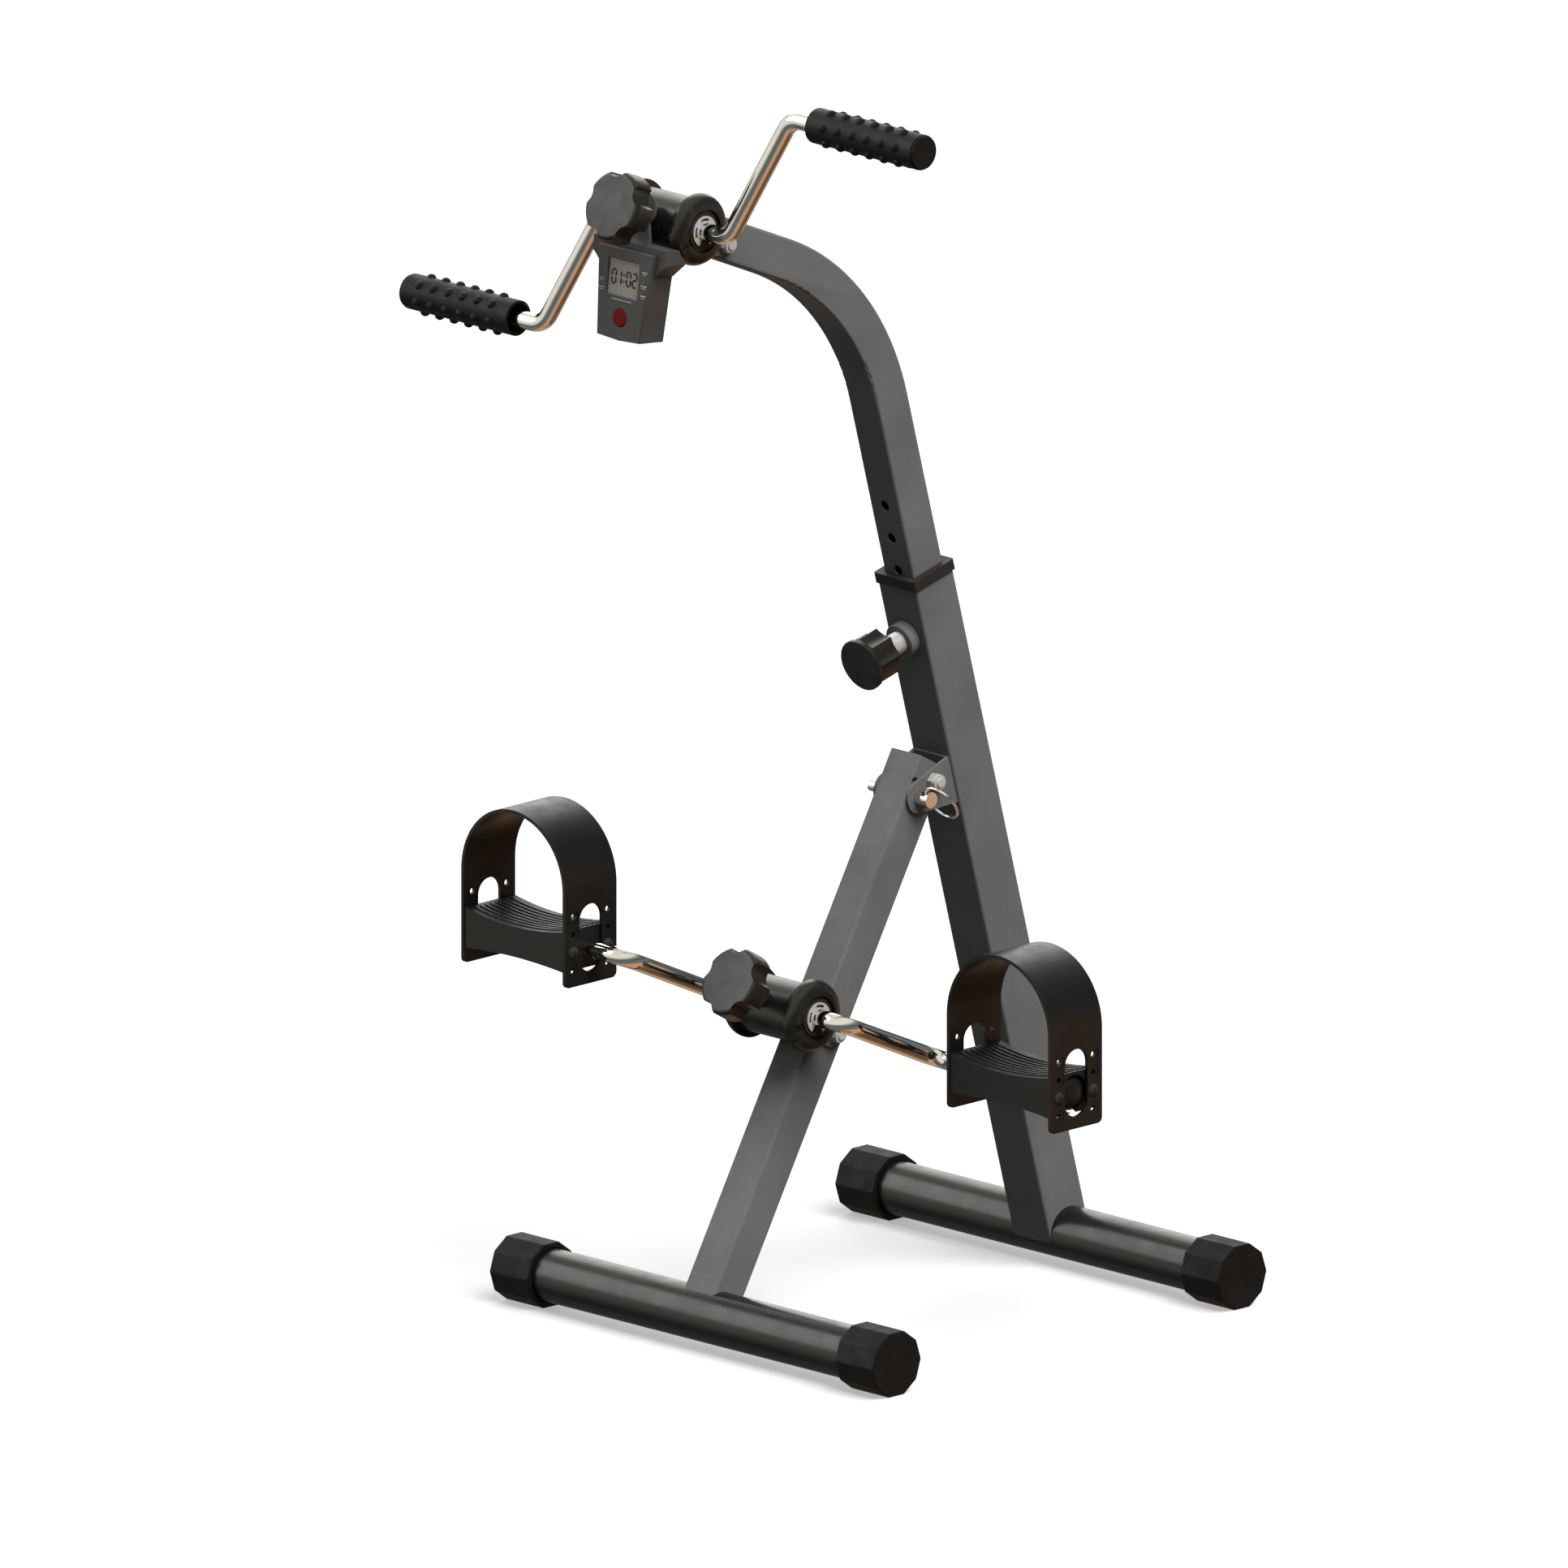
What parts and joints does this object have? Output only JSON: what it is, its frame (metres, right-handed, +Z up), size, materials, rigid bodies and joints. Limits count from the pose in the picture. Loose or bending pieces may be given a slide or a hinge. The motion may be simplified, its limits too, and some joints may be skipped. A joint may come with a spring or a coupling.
{
  "type": "pedal exerciser",
  "caption": "Folding pedal exerciser: an A-frame with a strapped foot crank below and a bent mast with a hand crank and a small monitor above.",
  "frame": {"origin": "centre of the bounding box in plan, on the floor", "axes": "+X to the right along the floor tubes, +Y from the user to the rear post, +Z up"},
  "size_m": [0.603, 0.5498, 1.1022],
  "materials": {
    "frame_paint": "semi-gloss powder coat",
    "base_paint": "gloss black paint",
    "cap_rubber": "matte",
    "inner_plastic": "matte",
    "chrome_rod": "polished",
    "zinc": "bright zinc",
    "black_screw": "black oxide",
    "pedal_plastic": "fine grain",
    "strap_plastic": "satin",
    "hub_plastic": "satin",
    "knob_plastic": "satin",
    "height_knob_plastic": "satin",
    "grip_rubber": "matte",
    "monitor_plastic": "fine grain",
    "lens": "clear",
    "lcd": "satin",
    "board": "satin",
    "red_button": "matte"
  },
  "bodies": {
    "post": {"rear_base_tube": "base_paint", "rear_left_end_cap": "cap_rubber", "rear_right_end_cap": "cap_rubber", "rear_post": "frame_paint", "post_collar": "inner_plastic", "height_boss": "frame_paint", "hinge_bracket": "frame_paint", "hinge_bolt": "zinc", "hinge_nut": "zinc"},
    "front_leg": {"front_leg": "frame_paint", "front_base_tube": "base_paint", "front_left_end_cap": "cap_rubber", "front_right_end_cap": "cap_rubber", "lower_hub_housing": "hub_plastic", "lower_left_end_ring": "hub_plastic", "lower_right_end_ring": "hub_plastic", "lower_hub_bushes": "inner_plastic", "lower_hub_bracket": "frame_paint", "lower_hub_bolt": "zinc", "lower_hub_nut": "zinc"},
    "lower_crank": {"lower_crank_rod": "chrome_rod", "lower_lock_washers": "zinc", "pedal_axle_caps": "strap_plastic"},
    "left_pedal": {"left_pedal_block": "pedal_plastic", "left_pedal_strap": "strap_plastic", "left_pedal_screws": "black_screw"},
    "right_pedal": {"right_pedal_block": "pedal_plastic", "right_pedal_strap": "strap_plastic", "right_pedal_screws": "black_screw"},
    "lower_brake": {"lower_brake_shoe": "inner_plastic"},
    "lower_knob": {"lower_knob": "knob_plastic", "lower_brake_screw": "zinc"},
    "mast": {"mast_tube": "frame_paint", "mast_glide_plug": "inner_plastic", "upper_hub_housing": "hub_plastic", "upper_left_end_ring": "hub_plastic", "upper_right_end_ring": "hub_plastic", "upper_hub_bushes": "inner_plastic", "upper_hub_bracket": "frame_paint", "upper_hub_bolt": "zinc", "upper_hub_nut": "zinc", "monitor_holder": "monitor_plastic", "monitor_case": "monitor_plastic", "monitor_lens": "lens", "lcd_panel": "lcd", "circuit_board": "board"},
    "upper_crank": {"upper_crank_rod": "chrome_rod", "upper_lock_washers": "zinc"},
    "left_grip": {"left_grip": "grip_rubber", "left_grip_plug": "grip_rubber"},
    "right_grip": {"right_grip": "grip_rubber", "right_grip_plug": "grip_rubber"},
    "upper_brake": {"upper_brake_shoe": "inner_plastic"},
    "upper_knob": {"upper_knob": "knob_plastic", "upper_brake_screw": "zinc"},
    "monitor_button": {"monitor_button": "red_button"},
    "height_stud": {"height_stud": "zinc"},
    "height_knob": {"height_knob": "height_knob_plastic"},
    "lock_pin": {"lock_pin": "chrome_rod"},
    "pin_ring": {"pin_ring": "chrome_rod"}
  },
  "joints": [
    {"name": "leg_fold", "type": "hinge", "parent": "post", "child": "front_leg", "pos_m": [0, 0.08977, 0.44145], "axis": [1, 0, 0], "range_deg": [0, 45]},
    {"name": "lower_crank_spin", "type": "hinge", "parent": "front_leg", "child": "lower_crank", "pos_m": [0, -0.0663, 0.27253], "axis": [1, 0, 0], "continuous": true},
    {"name": "left_pedal_spin", "type": "hinge", "parent": "lower_crank", "child": "left_pedal", "pos_m": [-0.179, -0.17132, 0.32061], "axis": [1, 0, 0], "continuous": true},
    {"name": "right_pedal_spin", "type": "hinge", "parent": "lower_crank", "child": "right_pedal", "pos_m": [0.179, 0.03872, 0.22445], "axis": [1, 0, 0], "continuous": true},
    {"name": "lower_brake_slide", "type": "slide", "parent": "front_leg", "child": "lower_brake", "axis": [0, -0.866, 0.5], "range_m": [-0.0007, 0.003]},
    {"name": "lower_knob_turn", "type": "hinge", "parent": "lower_brake", "child": "lower_knob", "pos_m": [0, -0.11826, 0.30253], "axis": [0, -0.866, 0.5], "range_deg": [-201.61, 864.01]},
    {"name": "mast_slide", "type": "slide", "parent": "post", "child": "mast", "axis": [0, -0.2588, 0.9659], "range_m": [-0.12, 0.06]},
    {"name": "upper_crank_spin", "type": "hinge", "parent": "mast", "child": "upper_crank", "pos_m": [0, -0.1987, 0.9693], "axis": [1, 0, 0], "continuous": true},
    {"name": "left_grip_spin", "type": "hinge", "parent": "upper_crank", "child": "left_grip", "pos_m": [-0.2375, -0.1987, 0.8538], "axis": [1, 0, 0], "continuous": true},
    {"name": "right_grip_spin", "type": "hinge", "parent": "upper_crank", "child": "right_grip", "pos_m": [0.2375, -0.1987, 1.0848], "axis": [1, 0, 0], "continuous": true},
    {"name": "upper_brake_slide", "type": "slide", "parent": "mast", "child": "upper_brake", "axis": [0, -0.9272, 0.3746], "range_m": [-0.0007, 0.003]},
    {"name": "upper_knob_turn", "type": "hinge", "parent": "upper_brake", "child": "upper_knob", "pos_m": [0, -0.25433, 0.99178], "axis": [0, -0.9272, 0.3746], "range_deg": [-201.61, 864.01]},
    {"name": "monitor_button_press", "type": "slide", "parent": "mast", "child": "monitor_button", "axis": [0, 0.9936, -0.1132], "range_m": [0, 0.0008], "stiffness_N_per_m": 900, "springref_m": -0.0006},
    {"name": "height_stud_slide", "type": "slide", "parent": "post", "child": "height_stud", "axis": [0, -0.9659, -0.2588], "range_m": [0, 0.008]},
    {"name": "height_knob_turn", "type": "hinge", "parent": "height_stud", "child": "height_knob", "pos_m": [0, 0.03382, 0.55038], "axis": [0, -0.9659, -0.2588], "range_deg": [0, 1440.01]},
    {"name": "lock_pin_pull", "type": "slide", "parent": "post", "child": "lock_pin", "axis": [1, 0, 0], "range_m": [0, 0.0565]},
    {"name": "pin_ring_swing", "type": "hinge", "parent": "lock_pin", "child": "pin_ring", "pos_m": [0.029, 0.07428, 0.43047], "axis": [0, -0.5548, 0.832], "range_deg": [-60, 60]}
  ],
  "couplings": [
    {"joint": "lower_knob_turn", "follows": "lower_brake_slide", "rad_per_m": 5026.5},
    {"joint": "upper_knob_turn", "follows": "upper_brake_slide", "rad_per_m": 5026.5},
    {"joint": "height_knob_turn", "follows": "height_stud_slide", "rad_per_m": 3141.6}
  ]
}
